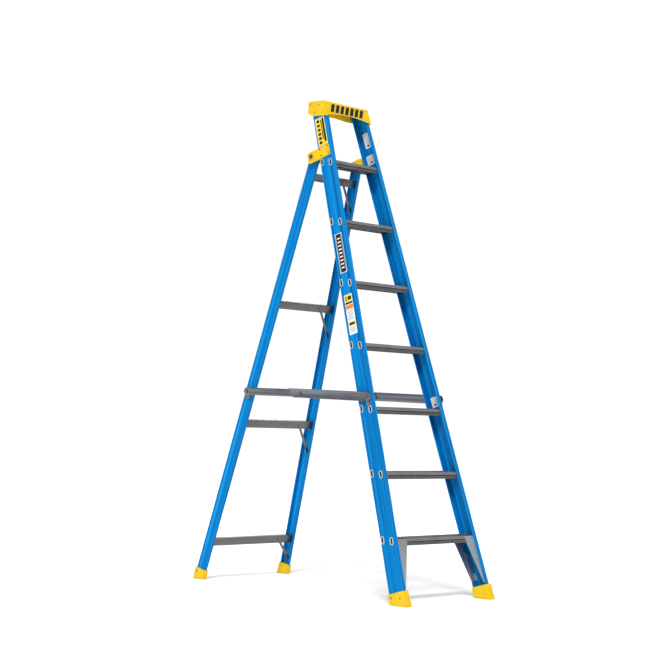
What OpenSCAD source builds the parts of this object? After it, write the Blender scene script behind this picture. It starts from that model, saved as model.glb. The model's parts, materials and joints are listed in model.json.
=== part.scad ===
// Step ladder: an A-frame with seven steps between two leaning channel rails, a hinged rear
// frame, and two folding spreaders that hold the frames apart.
// X runs across the ladder, Y from the climbing side to the rear, Z up; the origin is on the
// ground, under the middle of the whole ladder. Millimetres.

/* [Steps] */
// Height from one tread to the next, and from the ground to the first tread
step_pitch = 305; // [300:1:308]
// Height of a step's front and rear skirts
step_h = 34; // [30:1:38]
// Thickness of a tread plate
tread_t = 2.6; // [2:0.1:4]
// Height from a slot's centre up to the tread
slot_drop = 12; // [12:0.5:14]

/* [Front rails] */
// Half the ladder's width over the rail webs, at the ground
front_half_w = 342; // [330:1:360]
// Lean of the front rails, from upright
front_lean = 18; // [17.5:0.1:18.5]
// Inward taper of each side, from upright
side_taper = 4.13; // [3.8:0.01:4.4]
// Width of a front rail's web
rail_w = 82; // [80:1:86]
// Depth of a front rail's flanges
rail_d = 29; // [27:1:32]
// Wall of the front rails
rail_wall = 3.5; // [3:0.1:4]

/* [Rear legs] */
// Half the width over the rear legs' webs, at the ground
rear_half_w = 326.6; // [320:0.1:328]
// Lean of the rear legs, from upright
rear_lean = 14.2; // [14:0.1:14.4]
// Distance between the front rails' and the rear legs' centre lines, at the ground
base_spread = 1335; // [1325:1:1345]
// Width of a rear leg's web
leg_w = 58; // [54:1:60]
// Depth of a rear leg's flanges
leg_d = 18; // [16:1:20]
// Wall of the rear legs
leg_wall = 3.2; // [3:0.1:4]

/* [Top cap] */
// Height of the cap's side walls
cap_h = 78; // [76:1:84]
// Half the cap's width at its top
cap_half_w = 172; // [171:1:175]
// Wall of the cap
cap_wall = 4; // [3.5:0.1:4.2]

/* [Hinge] */
// Height of the hinge bolts
hinge_z = 2155; // [2150:1:2160]
// Radius of a hinge bolt
bolt_r = 5; // [4:0.5:6]

/* [Spreaders] */
// Height of the front spreader pivot
front_pivot_z = 961.5; // [955:0.5:965]
// Height of the rear spreader pivot
rear_pivot_z = 967.7; // [960:0.1:970]
// Height of a front spreader bar's web
front_bar_h = 45; // [42:1:46]
// Height of a rear spreader bar's web
rear_bar_h = 38; // [34:1:40]

/* [Hidden] */
$fn = 48;

left = -1;
right = 1;
sides = [left, right];
far = 3000;
gap = 0.3;

// Front rails: toe_out is how far the front feet reach ahead of the rails' centre line,
// heel_out how far the rear feet reach behind the legs' centre line.
toe_out = 51;
heel_out = 33;
front_y = -(base_spread + heel_out - toe_out) / 2;
rail_tilt = atan(tan(front_lean) * cos(side_taper));
rail_half = rail_w / 2;
rail_top = 8 * step_pitch - 14;
sole_t = 6;
foot_out = 2.6;
tooth_h = 4.2;

// Rear legs
rear_y = front_y + base_spread;
leg_tilt = atan(tan(rear_lean) * cos(side_taper));
leg_half = leg_w / 2;

function rail_x(z) = front_half_w - z * tan(side_taper);
function rail_y(z) = front_y + z * tan(front_lean);
function leg_x(z) = rear_half_w - z * tan(side_taper);
function leg_y(z) = rear_y - z * tan(rear_lean);
// Place along a rail or leg of a point on its centre line at height z
function rail_s(z) = z / (cos(rail_tilt) * cos(side_taper));
function leg_s(z) = z / (cos(leg_tilt) * cos(side_taper));

// Hinge: the bolts sit on the rear legs' centre lines, behind the front rails
hinge_y = leg_y(hinge_z);
hinge_rise = hinge_z / cos(side_taper);
hinge_c = (hinge_y - front_y) * cos(rail_tilt) - hinge_rise * sin(rail_tilt);
hinge_s = (hinge_y - front_y) * sin(rail_tilt) + hinge_rise * cos(rail_tilt);
bracket_t = 6;
cheek_x = -36;
cheek_t = 3.5;
boss_out = leg_x(hinge_z) + 23;
boss_in = leg_x(hinge_z) + 3.4;
nut_face = rail_x(hinge_z) + cheek_x - cheek_t - 2;

// Spreader pivots, and the knee a little above the straight line between them
front_pivot = [rail_y(front_pivot_z) - 25.5, front_pivot_z];
rear_pivot = [leg_y(rear_pivot_z), rear_pivot_z];
knee_share = 0.538;
knee_rise = 1.6;
knee = front_pivot + knee_share * (rear_pivot - front_pivot) + [0, knee_rise];
front_bar_len = norm(knee - front_pivot);
rear_bar_len = norm(rear_pivot - knee);
front_bar_angle = atan2(knee[1] - front_pivot[1], knee[0] - front_pivot[0]);
rear_bar_angle = atan2(rear_pivot[1] - knee[1], rear_pivot[0] - knee[0]);
bar_t = 2.5;
front_bar_x = 280;
rear_bar_x = 276;
pin_r = 4;
pin_clear = 0.05;

// Steps
slot_half = 27.75;
slot_len = 30;
slot_w = 10;
tube_t = 1.75;
flare_w = 20;
flare_len = 38;
// The rails lean and taper, so their flanges run a little skew to the steps' skirts.
skew = rail_d * tan(front_lean) * sin(side_taper);
step_half = (rail_half - rail_wall) / cos(front_lean) - 0.4 - skew;
function step_z(i) = i * step_pitch - slot_drop;

// Top cap
cap_top = 8 * step_pitch;
cap_bottom = cap_top - cap_h;
cap_front = 51.3;
cap_rear = rail_y(cap_top) + 48.5;
cap_splay = 6;

// Rear cross bars: the height of each bar's middle
bar_z = [192, 804, 1413, 2059];
bar_h = 39;
bar_d = 24;
bar_wall = 2;

blue = "dodgerblue";
yellow = "gold";
metal = "silver";
steel = "darkgray";

// ---- Frames of reference ----------------------------------------------------------------

// A piece made for the right-hand side, or its mirror image on the left.
module on_side(side) mirror([side < 0 ? 1 : 0, 0, 0]) children();

// On a front rail: X points outwards from the web, Y across the rail to the rear, Z up the rail.
module on_rail(side)
    on_side(side)
        translate([front_half_w, front_y, 0])
            rotate([0, -side_taper, 0])
                rotate([-rail_tilt, 0, 0])
                    children();

// On a rear leg, in the same way.
module on_leg(side)
    on_side(side)
        translate([rear_half_w, rear_y, 0])
            rotate([0, -side_taper, 0])
                rotate([leg_tilt, 0, 0])
                    children();

// In the plane of both rear legs: X across, Y normal to the plane, Z up the legs.
module on_rear_plane() translate([0, rear_y, 0]) rotate([rear_lean, 0, 0]) children();

// A flat outline drawn in Y and Z, given a thickness along X.
module plate_x(t) rotate([90, 0, 90]) linear_extrude(t) children();

// A rod along X, from x0 to x1, through a point given in Y and Z.
module rod_x(p, x0, x1, r)
    translate([x0, p[0], p[1]])
        rotate([0, 90, 0])
            cylinder(r = r, h = x1 - x0);

// A wedge that fills the space between two tapering sides, each moved in by inset.
module between(half_w, inset)
    rotate([90, 0, 0])
        linear_extrude(far, center = true)
            polygon([
                [-half_w + inset, 0], [half_w - inset, 0],
                [half_w - inset - far * tan(side_taper), far],
                [-half_w + inset + far * tan(side_taper), far]
            ]);

module keep_heights(z0, z1)
    intersection() {
        children();
        translate([-far / 2, -far / 2, z0]) cube([far, far, z1 - z0]);
    }

// ---- Outlines ---------------------------------------------------------------------------

module round_rect(w, h, r) {
    square([w, h - 2 * r], center = true);
    square([w - 2 * r, h], center = true);
    for (a = [-1, 1], b = [-1, 1])
        translate([a * (w / 2 - r), b * (h / 2 - r)]) circle(r);
}

// A slot with round ends, long along Y.
module slot(w, h) {
    square([w, h - w], center = true);
    for (b = [-1, 1]) translate([0, b * (h - w) / 2]) circle(w / 2);
}

// A half-round ended block, its web face at x = 0, open towards -X.
module channel_block(w, d, r) {
    translate([-d, -w / 2 + r]) square([d, w - 2 * r]);
    translate([-d, -w / 2]) square([d - r, w]);
    for (b = [-1, 1]) translate([-r, b * (w / 2 - r)]) circle(r);
}

module channel_outline(w, d, wall) {
    difference() {
        channel_block(w, d, wall + 1.2);
        translate([-wall, 0]) channel_block(w - 2 * wall, d, 1.2);
    }
}

module channel(w, d, wall, len) linear_extrude(len) channel_outline(w, d, wall);

// ---- Fasteners --------------------------------------------------------------------------

// A domed rivet: its head stands on x = 0 towards +X, its shank goes the other way.
module rivet(head_r = 4.2, head_h = 2, shank_r = 2.4, grip = 8)
    rotate([0, 90, 0]) {
        cylinder(r1 = head_r, r2 = head_r * 0.6, h = head_h);
        translate([0, 0, -grip]) cylinder(r = shank_r, h = grip + 0.5);
    }

// ---- Front frame ------------------------------------------------------------------------

module slot_places(i)
    for (side = sides, b = [-1, 1])
        on_rail(side)
            translate([
                0,
                b * slot_half * cos(front_lean),
                rail_s(step_z(i)) + b * slot_half * sin(front_lean)
            ])
                children();

module rail(side)
    color(blue)
        difference() {
            keep_heights(sole_t + gap, rail_top)
                on_rail(side) channel(rail_w, rail_d, rail_wall, far);
            for (i = [1:7])
                slot_places(i)
                    translate([-rail_wall - 1, 0, 0])
                        plate_x(rail_wall + 2)
                            slot(slot_w + 2 * tube_t + 0.2, slot_len + 2 * tube_t + 0.2);
            rod_x(front_pivot, -far / 2, far / 2, pin_r);
        }

// A slab of the step's section, its front and rear faces parallel to the rails.
module slab(y0, y1, z0, z1)
    polygon([for (p = [[y0, z0], [y1, z0], [y1, z1], [y0, z1]]) [p[0] + p[1] * tan(front_lean), p[1]]]);

// A slab between m * y0 and m * y1, so that m = -1 gives the front one of a pair.
module pair_slab(m, y0, y1, z0, z1) slab(min(m * y0, m * y1), max(m * y0, m * y1), z0, z1);

module step_section() {
    top = slot_drop;
    floor_z = -slot_len / 2 - 2;
    inner = step_half - 19;
    slab(-step_half, step_half, top - tread_t, top);
    for (m = [-1, 1]) {
        pair_slab(m, step_half - 2.2, step_half, top - step_h, top);
        pair_slab(m, inner, inner + 1.8, floor_z, top);
        pair_slab(m, inner, step_half, floor_z, floor_z + 1.8);
        pair_slab(m, 5, 6.8, top - 9, top);
    }
}

module step(i)
    color(metal)
        difference() {
            union() {
                intersection() {
                    translate([-far / 2, rail_y(step_z(i)), step_z(i)])
                        plate_x(far) step_section();
                    between(front_half_w, rail_wall / cos(side_taper) + gap);
                }
                slot_places(i) {
                    translate([-rail_wall - 3, 0, 0])
                        plate_x(rail_wall + 3.5)
                            slot(slot_w + 2 * tube_t, slot_len + 2 * tube_t);
                    translate([0.05, 0, 0]) plate_x(1.6) slot(flare_w, flare_len);
                }
            }
            slot_places(i)
                translate([-rail_wall - 4, 0, 0])
                    plate_x(rail_wall + 8) slot(slot_w, slot_len);
        }

module top_cap() {
    pts_out = [
        [rail_y(cap_bottom) - cap_front, cap_bottom], [rail_y(cap_bottom) + 35, cap_bottom],
        [cap_rear - 4, cap_bottom + 16], [cap_rear, cap_top],
        [rail_y(cap_top) - cap_front, cap_top]
    ];
    front_t = cap_wall / cos(front_lean);
    inner_top = cap_top - cap_wall;
    low = cap_bottom - 20;
    pts_in = [
        [rail_y(low) - cap_front + front_t, low], [cap_rear - cap_wall - 4, low],
        [cap_rear - cap_wall - 4, inner_top - 20], [cap_rear - cap_wall - 1, inner_top],
        [rail_y(inner_top) - cap_front + front_t, inner_top]
    ];
    arch_r = 811;
    color(yellow)
        difference() {
            intersection() {
                translate([-far / 2, 0, 0]) plate_x(far) polygon(pts_out);
                cap_wedge(0);
            }
            intersection() {
                translate([-far / 2, 0, 0]) plate_x(far) polygon(pts_in);
                cap_wedge(cap_wall);
            }
            intersection() {
                translate([0, 0, cap_bottom + 21 - arch_r])
                    rotate([90, 0, 0])
                        cylinder(r = arch_r, h = far, center = true, $fn = 180);
                translate([-160, -far / 2, 0]) cube([320, far, far]);
            }
        }
}

// The space between the cap's two side faces, moved in by inset.
module cap_wedge(inset) {
    slope = cap_splay / cap_h;
    low = cap_bottom - 30;
    wide = cap_half_w + (cap_top - low) * slope - inset;
    narrow = cap_half_w - 60 * slope - inset;
    rotate([90, 0, 0])
        linear_extrude(far, center = true)
            polygon([[-wide, low], [wide, low], [narrow, cap_top + 60], [-narrow, cap_top + 60]]);
}

module cap_rivets()
    color(steel)
        for (side = sides, p = [[72, -18], [16, -20], [36, -60], [-20, -60]])
            on_side(side)
                translate([
                    cap_half_w - p[1] * cap_splay / cap_h,
                    rail_y(cap_bottom) + p[0] - 12,
                    cap_top + p[1]
                ])
                    rotate([0, -atan(cap_splay / cap_h), 0])
                        rivet(3.6, 1.6, 1.8, 7);

// The bracket's side outline: a plate over the rail and an ear out to the bolt.
module bracket_outline() {
    translate([-1, hinge_s - 3]) round_rect(66, 56, 5);
    ear_outline();
}

module ear_outline() {
    ear_len = hinge_c + 4;
    translate([20 + ear_len / 2, hinge_s - 4.5]) round_rect(ear_len, 58, 13);
}

module hinge_bracket(side)
    color(yellow)
        difference() {
            union() {
                on_rail(side) {
                    translate([0.05, 0, 0]) plate_x(bracket_t) bracket_outline();
                    translate([cheek_x - cheek_t, 0, 0])
                        plate_x(cheek_t)
                            intersection() {
                                ear_outline();
                                translate([rail_half + gap, 0]) square([far, far]);
                            }
                    translate([cheek_x - 1, rail_half + gap, hinge_s - 33])
                        cube([bracket_t - cheek_x + 1, 4, 53]);
                }
                on_side(side)
                    rod_x([hinge_y, hinge_z], boss_in, boss_out, 12.5);
                on_side(side)
                    rod_x([hinge_y, hinge_z], nut_face, nut_face + 5, 12.5);
            }
            rod_x([hinge_y, hinge_z], -far / 2, far / 2, bolt_r + pin_clear);
        }

module hinge_bracket_rivets()
    color(steel)
        for (side = sides, p = [[25, 16.5], [-27, 17.5], [-27, -20], [21, -20]])
            on_rail(side)
                translate([bracket_t + 0.05, p[0], hinge_s + p[1]])
                    rivet(4.6, 2, 2.4, bracket_t + rail_wall - 0.5);

module hinge_bolt(side)
    color(steel)
        on_side(side) {
            rod_x([hinge_y, hinge_z], nut_face - 9, boss_out, bolt_r);
            rod_x([hinge_y, hinge_z], boss_out, boss_out + 1.5, 12);
            translate([boss_out + 1.4, hinge_y, hinge_z])
                rotate([0, 90, 0])
                    cylinder(r = 9.5, h = 5.5, $fn = 6);
        }

module hinge_washers()
    color("white")
        for (side = sides)
            on_side(side)
                difference() {
                    rod_x([hinge_y, hinge_z], leg_x(hinge_z) + 1.1, boss_in, 11);
                    rod_x([hinge_y, hinge_z], 0, far, bolt_r + pin_clear);
                }

module hinge_nuts()
    color(steel)
        for (side = sides)
            on_side(side)
                difference() {
                    translate([nut_face - 7, hinge_y, hinge_z])
                        rotate([0, 90, 0])
                            cylinder(r = 8.5, h = 7, $fn = 6);
                    rod_x([hinge_y, hinge_z], 0, far, bolt_r);
                }

// A foot's side outline with a serrated sole: teeth with flat tips, from rear to front.
function sole_points(y_rear, y_front, teeth) =
    let (pitch = (y_rear - y_front) / teeth)
    [for (i = [0:teeth - 1], p = [[0, 0], [0.52, 0], [0.64, 1], [0.88, 1]])
        [y_rear - (i + p[0]) * pitch, p[1] * tooth_h]];

module front_foot(side) {
    outline = concat(
        sole_points(rail_y(0) + 46, rail_y(0) - toe_out, 11),
        [
            [rail_y(0) - toe_out, 0],
            [rail_y(0) - toe_out + 1, 5],
            [rail_y(73) - rail_half / cos(front_lean) - 5, 73],
            [rail_y(46) + rail_half / cos(front_lean) + 2.4, 46],
            [rail_y(0) + 47, 4]
        ]
    );
    foot_w = 45;
    color(yellow)
        difference() {
            on_side(side)
                translate([front_half_w + foot_out - foot_w, 0, 0])
                    plate_x(foot_w) polygon(outline);
            on_side(side)
                translate([front_half_w + foot_out - foot_w - 1, rail_y(0) - 14, 16])
                    rotate([-front_lean, 0, 0]) cube([3, 3, 34]);
            intersection() {
                on_rail(side) foot_socket(rail_w, rail_d, rail_wall);
                translate([-far / 2, -far / 2, sole_t]) cube(far);
            }
        }
}

// The room that a channel takes up inside its foot.
module foot_socket(w, d, wall)
    linear_extrude(far / 4)
        difference() {
            translate([gap, 0]) channel_block(w + 2 * gap, d + 2 * gap, wall);
            translate([-wall - gap, 0]) channel_block(w - 2 * wall - 2 * gap, d, 1.2);
        }

module front_foot_rivets()
    color(steel)
        for (side = sides, p = [[38, 33], [-14, 38]])
            on_side(side)
                translate([front_half_w + foot_out + 0.05, rail_y(0) + p[0], p[1]])
                    rivet(4.8, 2, 2.4, 9);

// Gussets under the bottom step, before it and behind it: a plate on the step's skirt narrows
// down to the rail, and its flange goes round into the rail to a tab on the web. q is -1 at the
// front and 1 at the rear.
gusset_low = 80;
gusset_high = step_pitch - 4;
gusset_reach = 72;
gusset_t = 2;
gusset_out = step_half + 0.05 / cos(front_lean);
gusset_tip = 4;
gusset_rivets_x = [14, 60];
gusset_rivets_drop = 9;
flange_in = rail_half - rail_wall - 0.9;
flange_x = -rail_d - 3.5;
flange_t = 2.4;
flange_rise = 4;
flange_len = 150;
fold = [3.2, 4.6];
tab_x = -rail_wall - 0.05;
tab_rise = 12;
tab = [17, 34];
tab_rivets_s = [20, 38];
tab_rivets_in = 10;

function rail_edge_x(z) = rail_x(z) - rail_d / cos(side_taper) - gap;

module gusset_plate(q)
    translate([
        0,
        rail_y(gusset_low) + q * (gusset_out + gusset_t / 2 / cos(front_lean)),
        gusset_low
    ])
        rotate([90 - front_lean, 0, 0])
            linear_extrude(gusset_t, center = true)
                polygon([
                    [rail_edge_x(gusset_low) - gusset_tip, 0], [rail_edge_x(gusset_low), 0],
                    [rail_edge_x(gusset_high), (gusset_high - gusset_low) / cos(front_lean)],
                    [
                        rail_edge_x(gusset_high) - gusset_reach,
                        (gusset_high - gusset_low) / cos(front_lean)
                    ]
                ]);

module gusset(side, q)
    color(metal)
        on_side(side) {
            gusset_plate(q);
            on_rail(right)
                translate([0, 0, rail_s(gusset_low)])
                    mirror([0, q < 0 ? 1 : 0, 0]) {
                        translate([flange_x, flange_in - flange_t, flange_rise]) {
                            cube([fold[0], fold[1], flange_len]);
                            cube([tab_x - flange_x, flange_t, flange_len]);
                        }
                        translate([tab_x - flange_t, flange_in - tab[0], tab_rise])
                            cube([flange_t, tab[0], tab[1]]);
                    }
        }

module gusset_rivets()
    color(steel)
        for (side = sides, q = [-1, 1]) {
            on_rail(side)
                for (s = tab_rivets_s)
                    translate([
                        tab_x - flange_t - 0.05,
                        q * (flange_in - tab_rivets_in),
                        rail_s(gusset_low) + s
                    ])
                        mirror([1, 0, 0]) rivet(3.6, 1.5, 2, rail_wall + 1.5);
            on_side(side)
                for (x = gusset_rivets_x)
                    translate([
                        rail_edge_x(gusset_high) - x,
                        rail_y(gusset_high - gusset_rivets_drop)
                            + q * (gusset_out + (gusset_t + 0.05) / cos(front_lean)),
                        gusset_high - gusset_rivets_drop
                    ])
                        rotate([q * front_lean, 0, 0])
                            rotate([0, 0, q * 90]) rivet(3.6, 1.5, 2, 4);
        }

// Plate under a spreader bar's end, on the web of a rail or a leg.
module spreader_plate_outline() translate([0, -11]) round_rect(30, 56, 9);

module front_spreader_plate(side)
    color(metal)
        difference() {
            on_rail(side) at_front_pivot() plate_x(2.4) spreader_plate_outline();
            rod_x(front_pivot, -far / 2, far / 2, pin_r);
        }

module at_front_pivot() {
    rise = front_pivot[1] / cos(side_taper);
    run = front_pivot[0] - front_y;
    translate([
        0.05,
        run * cos(rail_tilt) - rise * sin(rail_tilt),
        run * sin(rail_tilt) + rise * cos(rail_tilt)
    ])
        children();
}

module at_rear_pivot() translate([0.05, 0, leg_s(rear_pivot_z)]) children();

module rear_spreader_plate(side)
    color(metal)
        difference() {
            on_leg(side) at_rear_pivot() plate_x(2.4) spreader_plate_outline();
            rod_x(rear_pivot, -far / 2, far / 2, pin_r);
        }

// A shouldered pivot pin: shank, collar against the plate and head outside the bar.
module pivot_pin(p, x_in, x_collar, x_bar)
    mirror_pair() {
        rod_x(p, x_in, x_bar + bar_t + 0.3, pin_r);
        rod_x(p, x_collar, x_bar - 0.3, 8);
        rod_x(p, x_bar + bar_t + 0.3, x_bar + bar_t + 3, 7);
        rod_x(p, x_in - 2, x_in + 0.4, 7);
    }

module mirror_pair() for (m = [0, 1]) mirror([m, 0, 0]) children();

module front_spreader_pins()
    color(steel)
        pivot_pin(front_pivot, rail_x(front_pivot_z) - rail_wall - 1, 276.6, front_bar_x);

module rear_spreader_pins()
    color(steel)
        pivot_pin(rear_pivot, leg_x(rear_pivot_z) - leg_wall - 1, 261, rear_bar_x);

module front_plate_rivets()
    color(steel)
        for (side = sides, p = [[0, 10], [0, -31]])
            on_rail(side)
                at_front_pivot()
                    translate([2.4, p[0], p[1]]) rivet(3.6, 1.2, 2, 7);

module rear_plate_rivets()
    color(steel)
        for (side = sides, p = [[0, 10], [0, -31]])
            on_leg(side)
                at_rear_pivot()
                    translate([2.4, p[0], p[1]]) rivet(3.6, 1.2, 2, 7);

// Labels: thin plates on the webs. Each is its place up the rail, its middle across, its size.
outer_labels = [[1750, 0, 205, 44], [1432, 0, 203, 50], [2404, 0, 150, 60]];
inner_labels = [[2404, -2, 79, 39], [2301, 3, 49, 56], [1000, 0, 52, 40]];
label_t = 0.4;
label_outside = 0.05;
label_inside = -rail_wall - label_t - 0.05;

module rail_labels(side, labels, x)
    color("white")
        for (p = labels)
            on_rail(side)
                translate([x, p[1], p[0]])
                    plate_x(label_t) square([p[3], p[2]], center = true);

// ---- Rear frame -------------------------------------------------------------------------

module leg(side)
    color(blue)
        difference() {
            intersection() {
                keep_heights(sole_t + gap, hinge_z + leg_half + 5)
                    on_leg(side) channel(leg_w, leg_d, leg_wall, far);
                union() {
                    translate([-far / 2, -far / 2, 0]) cube([far, far, hinge_z]);
                    rod_x([hinge_y, hinge_z], -far / 2, far / 2, leg_half / cos(side_taper));
                }
            }
            rod_x([hinge_y, hinge_z], -far / 2, far / 2, bolt_r + pin_clear + 0.01);
            rod_x(rear_pivot, -far / 2, far / 2, pin_r);
        }

module at_bar(i)
    on_rear_plane()
        translate([0, 0, bar_z[i - 1] / cos(rear_lean)])
            children();

// A cross bar: a channel open to the rear, with an end tab on each leg's web.
module rear_bar(i)
    color(metal)
        intersection() {
            at_bar(i)
                difference() {
                    translate([-far / 2, -bar_d / 2, -bar_h / 2]) cube([far, bar_d, bar_h]);
                    difference() {
                        translate([-far / 2, bar_wall - bar_d / 2, bar_wall - bar_h / 2])
                            cube([far, bar_d, bar_h - 2 * bar_wall]);
                        bar_tabs(i);
                    }
                }
            between(rear_half_w, (leg_wall + gap) / cos(side_taper));
        }

// What closes a cross bar's ends: everything outboard of the tabs' inner faces.
module bar_tabs(i) {
    half = leg_x(bar_z[i - 1]) - leg_wall - gap - bar_wall;
    for (m = [0, 1])
        mirror([m, 0, 0])
            translate([half, -far / 2, -far / 2]) cube([far, far, far]);
}

module rear_bar_rivets()
    color(steel)
        for (side = sides, i = [1:4], q = [-1, 1])
            on_leg(side)
                translate([
                    -leg_wall - gap - bar_wall - 0.05,
                    q * 5,
                    leg_s(bar_z[i - 1]) + q * 8
                ])
                    mirror([1, 0, 0]) rivet(3.6, 1.5, 2, leg_wall + bar_wall - 0.5);

// Diagonal straps from the front of each cross bar down to the right-hand leg's web; the lowest
// one is short, because it ends above the foot.
brace_in = 112;
brace_drop = [104, 138, 138, 138];
brace_w = 14;
brace_t = 2;
brace_c = -bar_d / 2 - brace_t / 2 - 0.1;

function brace_top(i) = [leg_x(bar_z[i - 1]) - brace_in, 0];
function brace_end(i) = [
    leg_x(bar_z[i - 1] - brace_drop[i - 1]) - leg_wall - 9,
    -brace_drop[i - 1] / cos(rear_lean)
];

module bar_braces()
    color(metal)
        for (i = [1:4]) {
            run = brace_end(i) - brace_top(i);
            at_bar(i)
                translate([brace_top(i)[0], brace_c, brace_top(i)[1]])
                    rotate([0, -atan2(run[1], run[0]), 0])
                        rotate([90, 0, 0])
                            linear_extrude(brace_t, center = true)
                                translate([norm(run) / 2, 0])
                                    rotate(90) slot(brace_w, norm(run) + brace_w);
            at_bar(i)
                translate([brace_end(i)[0] - 2, brace_c - 1, brace_end(i)[1] - 7])
                    rotate([0, -side_taper, 0]) cube([8.4, 12, 14]);
        }

module brace_rivets()
    color(steel)
        for (i = [1:4], p = [brace_top(i), brace_end(i) + [-5, 8]])
            at_bar(i)
                translate([p[0], brace_c - brace_t / 2, p[1]])
                    rotate([0, 0, -90]) rivet(3.4, 1.5, 2, p[1] == 0 ? 5 : 1.9);

module rear_foot(side) {
    outline = concat(
        sole_points(rear_y + heel_out - 3, leg_y(0) - 36, 8),
        [
            [leg_y(0) - 36, 0],
            [leg_y(46) - leg_half / cos(rear_lean) - 3, 46],
            [leg_y(62) + leg_half / cos(rear_lean) + 3, 62],
            [rear_y + heel_out, 5],
            [rear_y + heel_out - 1, 2]
        ]
    );
    foot_w = 31;
    color(yellow)
        difference() {
            on_side(side)
                translate([rear_half_w + foot_out - foot_w, 0, 0])
                    plate_x(foot_w) polygon(outline);
            intersection() {
                on_leg(side) foot_socket(leg_w, leg_d, leg_wall);
                translate([-far / 2, -far / 2, sole_t]) cube(far);
            }
        }
}

module rear_foot_rivets()
    color(steel)
        for (side = sides)
            on_side(side)
                translate([rear_half_w + foot_out + 0.05, rear_y + 8, 40]) rivet(4.8, 2, 2.4, 8);

// ---- Spreaders --------------------------------------------------------------------------

// The front bar: a channel open outwards, round at its pivot, cut off at a slant past the knee.
module front_spreader(side) {
    h = front_bar_h / 2;
    past_top = 77;
    past_low = 42;
    depth = 13;
    color(metal)
        difference() {
            on_side(side)
                translate([front_bar_x, front_pivot[0], front_pivot[1]])
                    rotate([front_bar_angle, 0, 0])
                        intersection() {
                            plate_x(depth) {
                                circle(h);
                                polygon([
                                    [0, -h], [front_bar_len + past_low, -h],
                                    [front_bar_len + past_top, h], [0, h]
                                ]);
                            }
                            union() {
                                translate([0, -h, -h]) cube([bar_t, far, 2 * h]);
                                for (b = [-1, 1])
                                    translate([0, 6, b * (h - bar_t / 2) - bar_t / 2])
                                        cube([depth, far, bar_t]);
                            }
                        }
            rod_x(front_pivot, -far / 2, far / 2, pin_r + pin_clear);
            rod_x(knee, -far / 2, far / 2, pin_r);
        }
}

// The rear bar: a channel open inwards, round at both ends.
module rear_spreader(side) {
    h = rear_bar_h / 2;
    depth = 10;
    color(metal)
        difference() {
            on_side(side)
                translate([rear_bar_x, rear_pivot[0], rear_pivot[1]])
                    rotate([rear_bar_angle, 0, 0]) {
                        plate_x(bar_t) {
                            for (y = [0, -rear_bar_len]) translate([y, 0]) circle(h);
                            translate([-rear_bar_len, -h]) square([rear_bar_len, 2 * h]);
                        }
                        for (b = [-1, 1])
                            translate([-depth, 14 - rear_bar_len, b * (h - bar_t / 2) - bar_t / 2])
                                cube([depth + 0.5, rear_bar_len - 28, bar_t]);
                    }
            rod_x(rear_pivot, -far / 2, far / 2, pin_r + pin_clear);
            rod_x(knee, -far / 2, far / 2, pin_r);
        }
}

// The knee's two halves: a head outside the front bar and a collar inside the rear bar.
module knee_head(side)
    color(steel)
        on_side(side) {
            rod_x(knee, front_bar_x, front_bar_x + bar_t + 0.5, pin_r);
            rod_x(knee, front_bar_x + bar_t, front_bar_x + bar_t + 2.5, 8);
        }

module knee_collar(side)
    color(steel)
        on_side(side) {
            rod_x(knee, rear_bar_x - 0.5, rear_bar_x + bar_t, pin_r);
            rod_x(knee, rear_bar_x - 3, rear_bar_x, 9);
        }

rail(left);  // left_rail
rail(right);  // right_rail
step(1);  // step_1
step(2);  // step_2
step(3);  // step_3
step(4);  // step_4
step(5);  // step_5
step(6);  // step_6
step(7);  // step_7
top_cap();
cap_rivets();
hinge_bracket(left);  // left_hinge_bracket
hinge_bracket(right);  // right_hinge_bracket
hinge_bracket_rivets();
hinge_bolt(left);  // left_hinge_bolt
hinge_bolt(right);  // right_hinge_bolt
hinge_washers();
hinge_nuts();
front_foot(left);  // left_front_foot
front_foot(right);  // right_front_foot
front_foot_rivets();
gusset(left, -1);  // left_front_gusset
gusset(right, -1);  // right_front_gusset
gusset(left, 1);  // left_rear_gusset
gusset(right, 1);  // right_rear_gusset
gusset_rivets();
front_spreader_plate(left);  // left_front_spreader_plate
front_spreader_plate(right);  // right_front_spreader_plate
front_spreader_pins();
front_plate_rivets();
rail_labels(left, outer_labels, label_outside);  // left_rail_labels
rail_labels(right, inner_labels, label_inside);  // right_rail_labels
leg(left);  // left_leg
leg(right);  // right_leg
rear_bar(1);  // rear_bar_1
rear_bar(2);  // rear_bar_2
rear_bar(3);  // rear_bar_3
rear_bar(4);  // rear_bar_4
rear_bar_rivets();
bar_braces();
brace_rivets();
rear_foot(left);  // left_rear_foot
rear_foot(right);  // right_rear_foot
rear_foot_rivets();
rear_spreader_plate(left);  // left_rear_spreader_plate
rear_spreader_plate(right);  // right_rear_spreader_plate
rear_spreader_pins();
rear_plate_rivets();
front_spreader(left);  // left_front_spreader
front_spreader(right);  // right_front_spreader
rear_spreader(left);  // left_rear_spreader
rear_spreader(right);  // right_rear_spreader
knee_head(left);  // left_knee_head
knee_head(right);  // right_knee_head
knee_collar(left);  // left_knee_collar
knee_collar(right);  // right_knee_collar
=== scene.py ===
# %% [markdown]
# # A fibreglass step ladder
# The ladder arrives as a fixed frame of plain metal, plastic and resin solids, already in the
# right places. This lesson gives each of them its finish, rounds the edges that a mould or an
# extrusion die would round, and adds what repeats: tread ribs, domed rivets and printed labels.
# We load the frame first. Nothing that we add may outgrow it.

# %% Load the frame
import json
import math

import bmesh
import bpy
import numpy as np
from mathutils import Matrix, Vector


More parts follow.
